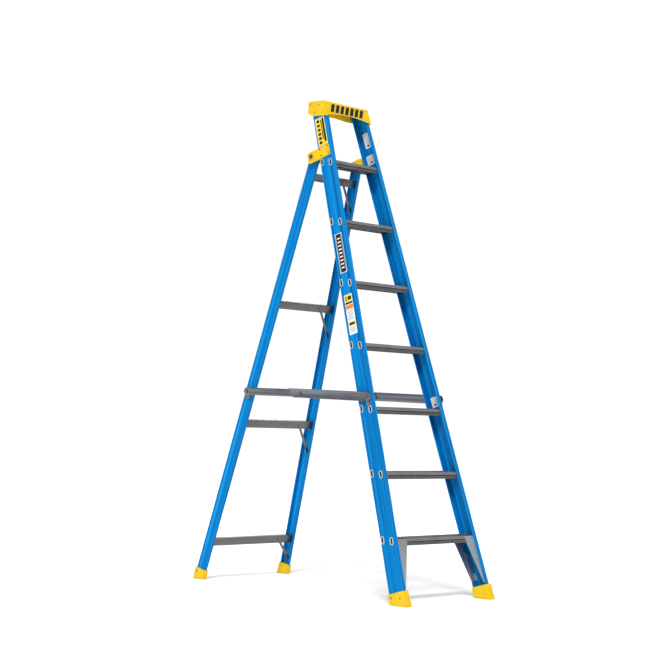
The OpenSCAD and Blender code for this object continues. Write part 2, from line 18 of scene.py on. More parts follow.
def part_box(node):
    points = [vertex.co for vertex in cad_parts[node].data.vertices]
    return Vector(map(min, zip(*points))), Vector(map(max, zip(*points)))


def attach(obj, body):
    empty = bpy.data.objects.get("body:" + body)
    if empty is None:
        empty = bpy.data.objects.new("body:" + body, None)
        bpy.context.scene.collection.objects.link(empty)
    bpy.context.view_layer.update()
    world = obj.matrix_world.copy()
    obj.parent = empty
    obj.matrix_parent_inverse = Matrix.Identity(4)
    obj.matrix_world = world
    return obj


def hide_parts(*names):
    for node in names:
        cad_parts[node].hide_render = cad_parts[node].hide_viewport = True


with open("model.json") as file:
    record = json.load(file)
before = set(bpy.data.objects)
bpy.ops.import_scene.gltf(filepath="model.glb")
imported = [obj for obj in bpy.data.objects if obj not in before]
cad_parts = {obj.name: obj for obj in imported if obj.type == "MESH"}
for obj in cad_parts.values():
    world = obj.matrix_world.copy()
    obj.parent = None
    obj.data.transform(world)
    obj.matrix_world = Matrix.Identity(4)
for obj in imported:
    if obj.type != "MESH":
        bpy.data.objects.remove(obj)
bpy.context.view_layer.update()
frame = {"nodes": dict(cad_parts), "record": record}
nodes = frame["nodes"]
record = frame["record"]

# %% [markdown]
# The ladder leans in two ways. Each rail leans back as it rises and also closes in on the
# middle. The resin's streaks, the tread ribs and the labels all need those two slopes, so we
# state them once, in the row frame's metres and radians. The rail's own box is printed beside
# them: its half width at the foot should be close to ours.

# %% Slopes of the rails and legs
LEAN = {"front": math.radians(18.0), "rear": math.radians(-14.2)}
TAPER = math.radians(4.13)
RAIL_HALF_WIDTH = 0.342
TREAD_PITCH = 0.305
FRONT_Y = -0.6585


def rail_y(z):
    return FRONT_Y + z * math.tan(LEAN["front"])


def rail_x(z):
    return RAIL_HALF_WIDTH - z * math.tan(TAPER)


def on_rail(side):
    """Axes of a front rail: X out of the web, Y across to the rear, Z up the rail."""
    tilt = math.atan(math.tan(LEAN["front"]) * math.cos(TAPER))
    m = (Matrix.Translation((RAIL_HALF_WIDTH, FRONT_Y, 0))
         @ Matrix.Rotation(-TAPER, 4, "Y") @ Matrix.Rotation(-tilt, 4, "X"))
    return Matrix.Diagonal((side, 1, 1, 1)) @ m


rail_low, rail_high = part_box("right_rail")
print("rail rises", round(rail_high.z - rail_low.z, 3), "m; half width at its foot",
      round(rail_high.x, 3), "against", RAIL_HALF_WIDTH)

# %% [markdown]
# ## Small helpers for shader trees
# A material here is a Principled shader with a few nodes that vary its colour, roughness and
# bump. Writing the nodes out each time would hide what matters, so these helpers make a node,
# set its sockets and link it in one line. Whatever is the same all over a surface is set on the
# shader itself.

# %% Shader helpers
def new_material(name):
    m = bpy.data.materials.new(name)
    m.use_nodes = True
    shader = m.node_tree.nodes["Principled BSDF"]
    return m, m.node_tree, shader


def add(tree, kind, links=(), **sockets):
    """A node with named settings; links are (input, output socket) pairs."""
    n = tree.nodes.new(kind)
    for key, value in sockets.items():
        if hasattr(n, key):
            setattr(n, key, value)
        else:
            n.inputs[key.replace("_", " ")].default_value = value
    for target, source in links:
        tree.links.new(source, n.inputs[target])
    return n


def ramp(tree, source, stops):
    """A colour ramp from a list of (position, grey or colour)."""
    n = add(tree, "ShaderNodeValToRGB", [(0, source)])
    while len(n.color_ramp.elements) < len(stops):
        n.color_ramp.elements.new(0.5)
    for element, (place, value) in zip(n.color_ramp.elements, stops):
        element.position = place
        grey = isinstance(value, (int, float))
        element.color = (value, value, value, 1) if grey else (*value, 1)
    return n.outputs["Color"]


def noise(tree, vector, scale, detail=3.0, roughness=0.5):
    n = add(tree, "ShaderNodeTexNoise", [("Vector", vector)])
    n.inputs["Scale"].default_value = scale
    n.inputs["Detail"].default_value = detail
    n.inputs["Roughness"].default_value = roughness
    return n.outputs["Fac"]


def stretch(tree, vector, scale):
    n = add(tree, "ShaderNodeMapping", [("Vector", vector)])
    n.inputs["Scale"].default_value = scale
    return n.outputs["Vector"]


def bump(tree, shader, height, strength, distance):
    n = add(tree, "ShaderNodeBump", [("Height", height)])
    n.inputs["Strength"].default_value = strength
    n.inputs["Distance"].default_value = distance
    tree.links.new(n.outputs["Normal"], shader.inputs["Normal"])


def math_node(tree, operation, a, b=0.0, c=0.0):
    n = add(tree, "ShaderNodeMath", operation=operation)
    for i, value in enumerate((a, b, c)):
        if isinstance(value, (int, float)):
            n.inputs[i].default_value = value
        else:
            tree.links.new(value, n.inputs[i])
    return n.outputs[0]


def blend(tree, first, second, share):
    """A weighted mean of two values; share is the first one's weight."""
    rest = math_node(tree, "MULTIPLY", second, 1 - share)
    return math_node(tree, "MULTIPLY_ADD", first, share, rest)


# %% [markdown]
# ## Pultruded fibreglass
# Rails of this kind are pultruded: glass rovings soaked in blue resin are pulled through a hot
# die, so every streak runs the whole length of the rail. An ordinary noise would cut across it.
# We build coordinates that run with the rail instead: how far from the middle plane once its
# taper is undone, how far across it, and how far up. The noises are scaled finely in the first
# two and coarsely in the third, which draws them out into streaks. One tree serves both sides
# because it reads the absolute value of X.

# %% Fibreglass material
BAND_SCALE = (60, 60, 0.5)
STRAND_SCALE = (420, 420, 3.0)
RESIN = [(0.38, (0.0, 0.105, 0.33)), (0.50, (0.0, 0.190, 0.52)), (0.62, (0.003, 0.290, 0.70))]


def untapered(tree, x, z):
    """How far out a point is, measured at ground level along a rail's taper."""
    return math_node(tree, "MULTIPLY_ADD", z, math.tan(TAPER), math_node(tree, "ABSOLUTE", x))


def fibreglass(name, lean):
    m, tree, shader = new_material(name)
    place = add(tree, "ShaderNodeTexCoord").outputs["Object"]
    x, y, z = add(tree, "ShaderNodeSeparateXYZ", [(0, place)]).outputs
    across = math_node(tree, "MULTIPLY_ADD", z, -math.tan(lean), y)
    flow = add(tree, "ShaderNodeCombineXYZ",
               [(0, untapered(tree, x, z)), (1, across), (2, z)]).outputs[0]
    bands = noise(tree, stretch(tree, flow, BAND_SCALE), 1.0, 3, 0.6)
    strands = noise(tree, stretch(tree, flow, STRAND_SCALE), 1.0, 4, 0.65)
    cloud = noise(tree, flow, 9.0, 3)
    mixed = blend(tree, strands, bands, 0.35)
    tree.links.new(ramp(tree, mixed, RESIN), shader.inputs["Base Color"])
    rough = ramp(tree, blend(tree, strands, cloud, 0.4), [(0.3, 0.32), (0.7, 0.50)])
    tree.links.new(rough, shader.inputs["Roughness"])
    shader.inputs["Specular IOR Level"].default_value = 0.07
    bump(tree, shader, mixed, 0.35, 0.0006)
    return m


blue = {"front": fibreglass("front_fibreglass", LEAN["front"]),
        "rear": fibreglass("rear_fibreglass", LEAN["rear"])}
print("made", len(blue), "fibreglass materials")

# %% [markdown]
# ## Moulded plastic
# The cap, brackets and boots are injection moulded in one bright yellow. Such a surface is
# never mirror smooth: the tool is spark-eroded, which leaves a fine even grain, and handling
# leaves slightly duller patches. Two noises of very different size do both.

# %% Plastic materials
def plastic(name, low, high, rough=(0.34, 0.48), grain=900.0, depth=0.0001):
    m, tree, shader = new_material(name)
    place = add(tree, "ShaderNodeTexCoord").outputs["Object"]
    patches = noise(tree, place, 14.0, 4)
    fine = noise(tree, place, grain, 2)
    tree.links.new(ramp(tree, patches, [(0.3, low), (0.7, high)]), shader.inputs["Base Color"])
    tree.links.new(ramp(tree, patches, [(0.3, rough[0]), (0.7, rough[1])]),
                   shader.inputs["Roughness"])
    shader.inputs["Specular IOR Level"].default_value = 0.2
    bump(tree, shader, fine, 0.30, depth)
    return m


yellow = plastic("yellow_moulding", (0.74, 0.47, 0.006), (0.82, 0.55, 0.010))
nylon = plastic("nylon_washer", (0.70, 0.70, 0.66), (0.80, 0.80, 0.76))
print("made", yellow.name, "and", nylon.name)

# %% [markdown]
# ## Metals
# The treads and cross bars are extruded aluminium, drawn lengthwise, so their streaks run along
# X. The gussets are paler sheet, streaked up the ladder. The spreaders are plated strip with
# streaks from front to rear, and the rivets, pins and bolts are plated steel with an even
# grain. All share one recipe: a metallic base whose brightness and roughness follow a noise
# that is stretched along the direction of drawing. A tread's nosing is painted brighter than
# the rest as a painted highlight, and a dark strip in the groove under it is painted shade.

# %% Metal materials
ALONG_X = (2.5, 500, 500)
ALONG_X_COARSE = (2.5, 450, 450)
ALONG_Y = (420, 2.5, 420)
ALONG_Z = (500, 500, 2.5)
EVEN = (300, 300, 300)


def drawn_metal(name, low, high, rough, scale, metallic=0.85):
    m, tree, shader = new_material(name)
    place = add(tree, "ShaderNodeTexCoord").outputs["Object"]
    streaks = noise(tree, stretch(tree, place, scale), 1.0, 4, 0.6)
    stains = noise(tree, place, 11.0, 4)
    mixed = blend(tree, stains, streaks, 0.4)
    tree.links.new(ramp(tree, mixed, [(0.32, low), (0.68, high)]), shader.inputs["Base Color"])
    tree.links.new(ramp(tree, mixed, [(0.3, rough[0]), (0.7, rough[1])]),
                   shader.inputs["Roughness"])
    shader.inputs["Metallic"].default_value = metallic
    bump(tree, shader, streaks, 0.25, 0.0002)
    return m


tread_metal = drawn_metal("tread_aluminium", (0.110, 0.111, 0.115), (0.200, 0.201, 0.207),
                          (0.36, 0.52), ALONG_X)
mill_metal = drawn_metal("mill_aluminium", (0.125, 0.122, 0.115), (0.190, 0.186, 0.174),
                         (0.34, 0.50), ALONG_X_COARSE)
strip_metal = drawn_metal("plated_strip", (0.160, 0.172, 0.194), (0.255, 0.272, 0.300),
                          (0.28, 0.44), ALONG_Y, 1.0)
zinc = drawn_metal("zinc_fastener", (0.12, 0.12, 0.125), (0.26, 0.26, 0.265),
                   (0.25, 0.42), EVEN, 1.0)
gusset_metal = drawn_metal("gusset_plate", (0.33, 0.355, 0.395), (0.50, 0.53, 0.575),
                           (0.34, 0.50), ALONG_Z)
# Painted highlight: a lighter copy of the tread metal, standing for the light the nosing catches.
nosing_highlight_metal = drawn_metal("tread_nosing_painted_highlight", (0.23, 0.23, 0.24), (0.35, 0.35, 0.365),
                           (0.30, 0.46), ALONG_X)
# Painted shade: a near-black copy of the tread metal, laid in the groove under the nosing where
# shade falls.
groove_shade_metal = drawn_metal("tread_groove_painted_shade", (0.020, 0.020, 0.021), (0.045, 0.045, 0.047),
                           (0.50, 0.66), ALONG_X)
print("made seven metals")

# %% [markdown]
# The ends of the treads' tubes are spread over the webs' outer faces, which stretches them
# bright. They are part of the tread's own mesh, so the tread's material has to tell them by
# their place: whatever lies further out than the web takes the bright colour.

# %% Bright flares
FLARE_COLOUR = (0.72, 0.72, 0.72, 1)


def brighten_flares(m):
    tree = m.node_tree
    base = tree.nodes["Principled BSDF"].inputs["Base Color"]
    place = add(tree, "ShaderNodeTexCoord").outputs["Object"]
    x, _, z = add(tree, "ShaderNodeSeparateXYZ", [(0, place)]).outputs
    outside = math_node(tree, "GREATER_THAN", untapered(tree, x, z), RAIL_HALF_WIDTH)
    mix = add(tree, "ShaderNodeMix", data_type="RGBA")
    factor, first, second = mix.inputs[0], mix.inputs[6], mix.inputs[7]
    tree.links.new(outside, factor)
    tree.links.new(base.links[0].from_socket, first)
    second.default_value = FLARE_COLOUR
    tree.links.new(mix.outputs[2], base)


brighten_flares(tread_metal)
print("brightened the flares of", tread_metal.name)

# %% [markdown]
# ## Rounding the edges
# A CAD solid has edges as sharp as a razor, which catch no light. Real mouldings and extrusions
# have small radii. We copy a node's mesh, merge its loose triangles back into whole flat faces,
# and let a Bevel modifier round every edge sharper than a set angle. The evaluated result
# becomes a plain mesh that stands in for the node.

# %% Helpers for meshes
def mesh_from(bm, name):
    mesh = bpy.data.meshes.new(name)
    bm.to_mesh(mesh)
    bm.free()
    return mesh


def bridge(bm, low, high):
    """Joins two rings of equally many vertices with a band of faces."""
    for i in range(len(low)):
        j = (i + 1) % len(low)
        bm.faces.new((low[i], low[j], high[j], high[i]))


def paint(obj, material):
    obj.data.materials.clear()
    obj.data.materials.append(material)


def as_plain_mesh(obj, name):
    """The evaluated object as a new plain object at the origin; the source is removed."""
    bpy.context.view_layer.update()
    evaluated = obj.evaluated_get(bpy.context.evaluated_depsgraph_get())
    mesh = bpy.data.meshes.new_from_object(evaluated)
    mesh.name = name
    bpy.data.objects.remove(obj)
    plain = bpy.data.objects.new(name, mesh)
    bpy.context.scene.collection.objects.link(plain)
    return plain


WELD = 1e-5
FLAT = math.radians(0.6)


def merged_copy(node):
    bm = bmesh.new()
    bm.from_mesh(nodes[node].data)
    bmesh.ops.remove_doubles(bm, verts=bm.verts, dist=WELD)
    bmesh.ops.dissolve_limit(bm, angle_limit=FLAT, verts=bm.verts, edges=bm.edges)
    return mesh_from(bm, node + "_merged")


def body_of_node(node):
    for name, members in record["behaviour"]["bodies"].items():
        if node in members:
            return name


def stand_in(obj, node):
    """The piece is shown in the node's place, on its body."""
    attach(obj, body_of_node(node))
    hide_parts(node)


# %% [markdown]
# The Bevel modifier takes its width in metres. Hardened normals keep the wide flat faces flat
# to the eye, where plain smooth shading would spread each rounded edge's shade across them.

# %% Rounded copies of CAD nodes
def rounded(node, radius, material, segments=2, angle=28.0):
    """Replaces a CAD node by the same solid with rounded edges."""
    obj = bpy.data.objects.new(node + "_rounded", merged_copy(node))
    obj.data.polygons.foreach_set("use_smooth", [True] * len(obj.data.polygons))
    bpy.context.scene.collection.objects.link(obj)
    bevel = obj.modifiers.new("edges", "BEVEL")
    bevel.width = radius
    bevel.segments = segments
    bevel.limit_method = "ANGLE"
    bevel.angle_limit = math.radians(angle)
    bevel.use_clamp_overlap = True
    bevel.miter_outer = "MITER_ARC"
    bevel.harden_normals = True
    plain = as_plain_mesh(obj, node + "_rounded")
    paint(plain, material)
    stand_in(plain, node)


def rounded_all(names, radius, material):
    for name in names:
        rounded(name, radius, material)
    print("rounded", len(names), "pieces:", names[0], "...")


# %% [markdown]
# ## Rails and legs
# The rails already carry the die's radii in their CAD section, so they keep their exact shape.
# They only need the fibreglass material.

# %% Rails and legs
SIDES = ("left", "right")
for side in SIDES:
    paint(nodes[side + "_rail"], blue["front"])
    paint(nodes[side + "_leg"], blue["rear"])
print("painted the rails and legs")

# %% [markdown]
# ## Cap, brackets and boots
# These are the three kinds of moulding. The cap has the softest corners, because people lean
# on it; the brackets and boots have smaller ones. The boots' teeth stay crisp enough to grip.

# %% Mouldings
ENDS = ("front", "rear")
rounded("top_cap", 0.005, yellow, segments=4, angle=20.0)
rounded_all([f"{s}_hinge_bracket" for s in SIDES], 0.0012, yellow)
rounded_all([f"{s}_{e}_foot" for s in SIDES for e in ENDS], 0.0012, yellow)

# %% [markdown]
# ## Treads, cross bars and sheet parts
# An extrusion die leaves radii of half a millimetre or so, and a sheared strip has its burr
# knocked off. A narrow bevel is enough to make each edge catch a line of light.

# %% Metal parts
rounded_all([f"step_{i}" for i in range(1, 8)], 0.0005, tread_metal)
rounded_all([f"rear_bar_{i}" for i in range(1, 5)], 0.0006, mill_metal)
rounded_all(["bar_braces"], 0.0004, mill_metal)
rounded_all([f"{s}_{e}_gusset" for s in SIDES for e in ENDS], 0.0004, gusset_metal)
rounded_all([f"{s}_{e}_spreader" for s in SIDES for e in ENDS], 0.0006, strip_metal)
rounded_all([f"{s}_{e}_spreader_plate" for s in SIDES for e in ENDS], 0.0005, strip_metal)
rounded_all([f"{s}_hinge_bolt" for s in SIDES] + ["hinge_nuts"], 0.0006, zinc)
rounded_all([f"{e}_spreader_pins" for e in ENDS], 0.0006, zinc)
rounded_all([f"{s}_knee_{e}" for s in SIDES for e in ("head", "collar")], 0.0005, zinc)
paint(nodes["hinge_washers"], nylon)

# %% [markdown]
# ## One scatter tool for everything that repeats
# Rivets, ribs and printed marks are each one small shape, many times over. We describe each copy
# by a point with two attributes, its turn and its size, and let Geometry Nodes put the shape
# there. The tree ends in Realize Instances and Set Material, so that the result is an ordinary
# mesh. Each list of places belongs to one body, so each body gets a mesh of its own.

# %% Geometry Nodes scatter
def scatter_tree():
    tree = bpy.data.node_groups.new("scatter_copies", "GeometryNodeTree")
    face = tree.interface
    face.new_socket("Points", in_out="INPUT", socket_type="NodeSocketGeometry")
    face.new_socket("Copy", in_out="INPUT", socket_type="NodeSocketObject")
    face.new_socket("Finish", in_out="INPUT", socket_type="NodeSocketMaterial")
    face.new_socket("Mesh", in_out="OUTPUT", socket_type="NodeSocketGeometry")
    start = tree.nodes.new("NodeGroupInput")
    end = tree.nodes.new("NodeGroupOutput")
    source = tree.nodes.new("GeometryNodeObjectInfo")
    place = tree.nodes.new("GeometryNodeInstanceOnPoints")
    realize = tree.nodes.new("GeometryNodeRealizeInstances")
    finish = tree.nodes.new("GeometryNodeSetMaterial")
    attributes = {}
    for name in ("turn", "size"):
        reader = tree.nodes.new("GeometryNodeInputNamedAttribute")
        reader.data_type = "FLOAT_VECTOR"
        reader.inputs["Name"].default_value = name
        attributes[name] = reader.outputs["Attribute"]
    turn = tree.nodes.new("FunctionNodeEulerToRotation")
    link = tree.links.new
    link(attributes["turn"], turn.inputs[0])
    link(start.outputs["Points"], place.inputs["Points"])
    link(start.outputs["Copy"], source.inputs["Object"])
    link(source.outputs["Geometry"], place.inputs["Instance"])
    link(turn.outputs[0], place.inputs["Rotation"])
    link(attributes["size"], place.inputs["Scale"])
    link(place.outputs["Instances"], realize.inputs["Geometry"])
    link(realize.outputs["Geometry"], finish.inputs["Geometry"])
    link(start.outputs["Finish"], finish.inputs["Material"])
    link(finish.outputs["Geometry"], end.inputs["Mesh"])
    return tree


SCATTER = scatter_tree()


def scatter(name, copy, places, material):
    """Places is a list of (point, rotation matrix, size); the result is a plain mesh."""
    mesh = bpy.data.meshes.new(name + "_points")
    mesh.from_pydata([tuple(p[0]) for p in places], [], [])
    for key, values in (("turn", [p[1].to_euler() for p in places]),
                        ("size", [p[2] for p in places])):
        attribute = mesh.attributes.new(key, "FLOAT_VECTOR", "POINT")
        attribute.data.foreach_set("vector", [c for v in values for c in v])
    obj = bpy.data.objects.new(name + "_points", mesh)
    bpy.context.scene.collection.objects.link(obj)
    modifier = obj.modifiers.new("scatter", "NODES")
    modifier.node_group = SCATTER
    socket = {s.name: s.identifier for s in SCATTER.interface.items_tree if s.in_out == "INPUT"}
    modifier[socket["Copy"]] = copy
    modifier[socket["Finish"]] = material
    plain = as_plain_mesh(obj, name)
    print(name, "has", len(places), "copies and", len(plain.data.polygons), "faces")
    return plain


# %% [markdown]
# ## The domed rivet
# A pulled rivet has a shallow dome with a dimple where its mandrel broke off. We turn that
# profile about Z as rings of vertices, with its flat underside at the origin, and scale it to
# each hole.

# %% Rivet shape
def lathe(name, profile, sides=20):
    """A solid of revolution about Z from (radius, height) points, closed at both ends."""
    bm = bmesh.new()
    rings = []
    for radius, height in profile:
        rings.append([
            bm.verts.new((radius * math.cos(a), radius * math.sin(a), height))
            for a in (2 * math.pi * i / sides for i in range(sides))])
    for low, high in zip(rings, rings[1:]):
        bridge(bm, low, high)
    bm.faces.new(rings[0][::-1])
    bm.faces.new(rings[-1])
    bmesh.ops.recalc_face_normals(bm, faces=bm.faces)
    mesh = mesh_from(bm, name)
    mesh.polygons.foreach_set("use_smooth", [True] * len(mesh.polygons))
    return bpy.data.objects.new(name, mesh)


rivet_shape = lathe("rivet_shape", [
    (1.0, 0.0), (1.0, 0.12), (0.96, 0.32), (0.84, 0.60), (0.66, 0.80), (0.46, 0.90),
    (0.38, 0.88), (0.34, 0.62), (0.12, 0.58)])

# %% [markdown]
# The frame holds each group of rivets as separate little solids. We find the solids by
# following shared vertices, and read from each one where its head stands and how wide it is.
# Its head is the end that is wider, so the direction needs no table.

# %% Rivet places
CENTRING_PASSES = 6
RIVET_CREASE = math.radians(50)


def islands(node):
    """Vertex positions of each separate solid in a node."""
    bm = bmesh.new()
    bm.from_mesh(nodes[node].data)
    bmesh.ops.remove_doubles(bm, verts=bm.verts, dist=WELD)
    seen, found = set(), []
    for start in bm.verts:
        if start in seen:
            continue
        group, queue = [], [start]
        seen.add(start)
        while queue:
            vert = queue.pop()
            group.append(tuple(vert.co))
            for edge in vert.link_edges:
                other = edge.other_vert(vert)
                if other not in seen:
                    seen.add(other)
                    queue.append(other)
        found.append(np.array(group))
    bm.free()
    return found


def rivet_place(points, head_height):
    """Foot of the head, rotation that turns Z to the head's axis, and the head's radius."""
    middle = (points.max(0) + points.min(0)) / 2
    for _ in range(CENTRING_PASSES):
        spread = points - middle
        axis = np.linalg.svd(spread, full_matrices=False)[2][0]
        along = spread @ axis
        middle = middle + axis * (along.max() + along.min()) / 2
        side = spread - np.outer(along, axis)
        middle = middle + (side.max(0) + side.min(0)) / 2
    along = (points - middle) @ axis
    radius = np.linalg.norm(points - middle - np.outer(along, axis), axis=1)
    if radius[along > 0].max() < radius[along < 0].max():
        axis, along = -axis, -along
    foot = middle + axis * (along.max() - head_height)
    turn = Vector(axis).to_track_quat("Z", "Y").to_matrix()
    return Vector(foot), turn, float(radius.max())


def rivets(node, head_height):
    places = []
    for points in islands(node):
        foot, turn, radius = rivet_place(points, head_height)
        places.append((foot, turn, (radius, radius, head_height)))
    made = scatter(node + "_domed", rivet_shape, places, zinc)
    made.data.polygons.foreach_set("use_smooth", [True] * len(made.data.polygons))
    made.data.set_sharp_from_angle(angle=RIVET_CREASE)
    stand_in(made, node)


HEAD_HEIGHTS = {
    "cap_rivets": 0.0016, "hinge_bracket_rivets": 0.0020, "front_foot_rivets": 0.0020,
    "gusset_rivets": 0.0015, "front_plate_rivets": 0.0012, "rear_plate_rivets": 0.0012,
    "rear_bar_rivets": 0.0015, "brace_rivets": 0.0015, "rear_foot_rivets": 0.0020}
for node, height in HEAD_HEIGHTS.items():
    rivets(node, height)

# %% [markdown]
# ## Ribs on the treads
# A tread is an aluminium extrusion, and its die cuts grip ribs along its whole length: a row on
# top, and a few more down the front skirt under a smooth nosing and a groove. Every one is the
# same small chamfered bar, so one shape and a rule for its place make them all.

# %% Rib shape
def extruded(name, profile):
    """A bar along X, one unit long, from a convex (y, z) profile."""
    bm = bmesh.new()
    ends = [[bm.verts.new((x, y, z)) for y, z in profile] for x in (-0.5, 0.5)]
    bm.faces.new(ends[0])
    bm.faces.new(ends[1])
    bridge(bm, *ends)
    bmesh.ops.recalc_face_normals(bm, faces=bm.faces)
    return bpy.data.objects.new(name, mesh_from(bm, name))


rib_shape = extruded("rib_shape", [
    (-0.5, 0.0), (-0.5, 0.5), (-0.38, 0.85), (-0.2, 1.0), (0.2, 1.0), (0.38, 0.85),
    (0.5, 0.5), (0.5, 0.0)])

# %% [markdown]
# Every tread has the same section, so a bar's place follows from the tread's number and from how
# far down its skirt the bar runs. The bars stop short of the rails' flanges, and the bottom
# tread's stop short of its gussets as well. We make one mesh for each kind of bar.

# %% Tread ribs
FLANGE_REACH = 0.0335
GUSSET_REACH = 0.0705
TREAD_HALF_DEPTH = 0.03835
TOP_RIBS = 13
TOP_PITCH = 0.0054
RIB_SIZE = (0.0026, 0.0009)
NOSING_DROP, NOSING_SIZE = 0.0086, (0.0150, 0.0012)
GROOVE_DROP, GROOVE_SIZE = 0.0182, (0.0036, 0.0003)
SKIRT_RIBS = 3
SKIRT_DROP, SKIRT_PITCH = 0.0225, 0.0042

lean_up = Vector((0, math.sin(LEAN["front"]), math.cos(LEAN["front"])))
lean_out = Vector((0, -math.cos(LEAN["front"]), math.sin(LEAN["front"])))
on_skirt = Matrix((Vector((1, 0, 0)), lean_up, lean_out)).transposed()


def tread_top(index):
    top = index * TREAD_PITCH
    length = 2 * (rail_x(top) - FLANGE_REACH)
    return [(Vector((0, rail_y(top) + (i - (TOP_RIBS - 1) / 2) * TOP_PITCH, top)),
             Matrix.Identity(3), (length, *RIB_SIZE)) for i in range(TOP_RIBS)]


def skirt_bar(index, drop, size):
    """A bar along a tread's front skirt; the bottom tread's stop short of its gussets."""
    top = index * TREAD_PITCH
    half = rail_x(top) - FLANGE_REACH - (GUSSET_REACH if index == 1 else 0)
    edge = Vector((0, rail_y(top) - TREAD_HALF_DEPTH, top))
    return edge - lean_up * drop, on_skirt, (2 * half, *size)


TREADS = range(1, 8)
skirt_drops = [SKIRT_DROP + i * SKIRT_PITCH for i in range(SKIRT_RIBS)]
# The nosings carry a painted highlight, and the dark strips in the grooves are painted shade.
for name, places, finish in (
        ("tread_ribs", [p for t in TREADS for p in tread_top(t)], tread_metal),
        ("skirt_ribs", [skirt_bar(t, d, RIB_SIZE) for t in TREADS for d in skirt_drops],
         tread_metal),
        ("nosings", [skirt_bar(t, NOSING_DROP, NOSING_SIZE) for t in TREADS], nosing_highlight_metal),
        ("grooves", [skirt_bar(t, GROOVE_DROP, GROOVE_SIZE) for t in TREADS], groove_shade_metal)):
    made = scatter(name, rib_shape, places, finish)
    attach(made, "front_frame")

# %% [markdown]
# ## Printed films
# Labels and the cap's front carry print. Ours is made of plain shapes only: bars and squares
# that stand for no words and no maker. Ink on vinyl is nearly flat, so each mark is a plate with
# rounded corners, a tenth of a millimetre thick, laid just above its film. A slight mottling in
# the colour keeps it from looking like a hole in the surface.

# %% Print materials
def print_ink(name, low, high):
    return plastic(name, low, high, rough=(0.42, 0.60), grain=1400.0, depth=0.00008)


ink = {
    "black": print_ink("ink_black", (0.008, 0.008, 0.010), (0.020, 0.020, 0.022)),
    "white": print_ink("ink_white", (0.74, 0.75, 0.76), (0.84, 0.84, 0.84)),
    "yellow": print_ink("ink_yellow", (0.82, 0.55, 0.020), (0.92, 0.66, 0.035)),
    "orange": print_ink("ink_orange", (0.72, 0.20, 0.015), (0.82, 0.27, 0.020)),
    "grey": print_ink("ink_grey", (0.20, 0.21, 0.23), (0.30, 0.31, 0.33)),
}
for side in SIDES:
    paint(nodes[side + "_rail_labels"], ink["white"])


def print_shape(name, slant=0.0, corner=0.12, steps=3):
    """A unit plate with round corners, pushed over by slant, one unit thick."""
    outline = []
    for cx, cy, start in ((1, 1, 0), (-1, 1, 90), (-1, -1, 180), (1, -1, 270)):
        for i in range(steps + 1):
            a = math.radians(start + 90 * i / steps)
            x = cx * (0.5 - corner) + corner * math.cos(a)
            y = cy * (0.5 - corner) + corner * math.sin(a)
            outline.append((x + slant * y, y))
    bm = bmesh.new()
    low = [bm.verts.new((x, y, 0)) for x, y in outline]
    high = [bm.verts.new((x * 0.995, y * 0.995, 1)) for x, y in outline]
    bm.faces.new(low[::-1])
    bm.faces.new(high)
    bridge(bm, low, high)
    return bpy.data.objects.new(name, mesh_from(bm, name))


plate_shape = print_shape("plate_shape")
bar_shape = print_shape("bar_shape", slant=0.9, corner=0.06)

# %% [markdown]
# Each mark is laid out in the rail's own axes: how far up the rail, how far across, then its
# length and width, all in millimetres. A layer number lifts one mark over another. The films
# themselves are nodes of the frame, and the marks have to stay inside them.

# %% Marks on a rail
FILM = 0.00047
LAYER = 0.0001
WEB_INSIDE = -0.0035
LEFT, RIGHT = -1, 1
MM = 0.001
marks = {colour: [] for colour in ink}


def on_web(side, up, across, length, width, layer, inside=False):
    """Place, turn and size of a mark on the outer or inner face of a rail's web."""
    m = on_rail(side)
    sign = -1 if inside else 1
    depth = (WEB_INSIDE if inside else 0) + sign * (FILM + layer * LAYER)
    point = m @ Vector((depth, across * MM, up * MM))
    rise = (m.to_3x3() @ Vector((0, 0, 1))).normalized()
    out = (m.to_3x3() @ Vector((sign, 0, 0))).normalized()
    turn = Matrix((rise, out.cross(rise), out)).transposed()
    return point, turn, (length * MM, width * MM, LAYER)


def put(colour, *place, **options):
    marks[colour].append(on_web(*place, **options))


# %% [markdown]
# The left rail has three films outside: a long dark one, a notice, and a yellow one under the
# cap. The right rail has three small white ones inside. Rows of grey bars give the density of
# small print, and blocks in two or three colours give its headings.

# %% Labels
def large_label(side, up):
    put("black", side, up, 0, 199, 40, 0)
    for edge in (-16, 16):
        put("white", side, up, edge, 186, 1.6, 1)
    for i in range(9):
        put("white", side, up - 76 + i * 19, 0, 7, 19, 1)


def notice_label(side, up):
    put("yellow", side, up + 82, 0, 34, 46, 0)
    put("black", side, up + 82, -8, 18, 22, 1)
    put("black", side, up + 82, 14, 24, 6, 1)
    put("black", side, up + 58, 0, 10, 46, 0)
    put("orange", side, up + 38, 0, 22, 46, 0)
    for i in range(7):
        put("grey", side, up + 18 - i * 7, 2 if i % 2 else 0, 2.4, 42 - 5 * (i % 3), 0)
    put("yellow", side, up - 48, 0, 22, 46, 0)
    put("black", side, up - 48, 0, 12, 34, 1)
    for i in range(4):
        put("grey", side, up - 68 - i * 7, 0, 2.4, 40 - 6 * (i % 2), 0)


def top_label(side, up):
    put("yellow", side, up, 0, 147, 57, 0)
    put("black", side, up + 4, -19, 128, 13, 1)
    put("black", side, up + 10, -6, 104, 6, 1)
    for i in range(6):
        put("black", side, up - 57 + i * 23, 13, 14, 18, 1)


def plain_label(side, up, across, length, width):
    put("black", side, up - length / 2 + 12, across, 9, 12, 1, inside=True)
    rows = int(length / 8) - 1
    for i in range(rows):
        put("grey", side, up + (i - (rows - 1) / 2) * 8, across, 2.2, width - 10 - 6 * (i % 2), 0,
            inside=True)


SMALL_FILMS = ((2404, -2, 79, 39), (2301, 3, 49, 56), (1000, 0, 52, 40))
large_label(LEFT, 1750)
notice_label(LEFT, 1432)
top_label(LEFT, 2404)
for film in SMALL_FILMS:
    plain_label(RIGHT, *film)

for colour, places in marks.items():
    made = scatter("print_" + colour, plate_shape, places, ink[colour])
    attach(made, "front_frame")

# %% [markdown]
# The cap's front face leans with the rails. A row of slanted black bars runs along it, high
# enough to clear the arch in its lower edge.

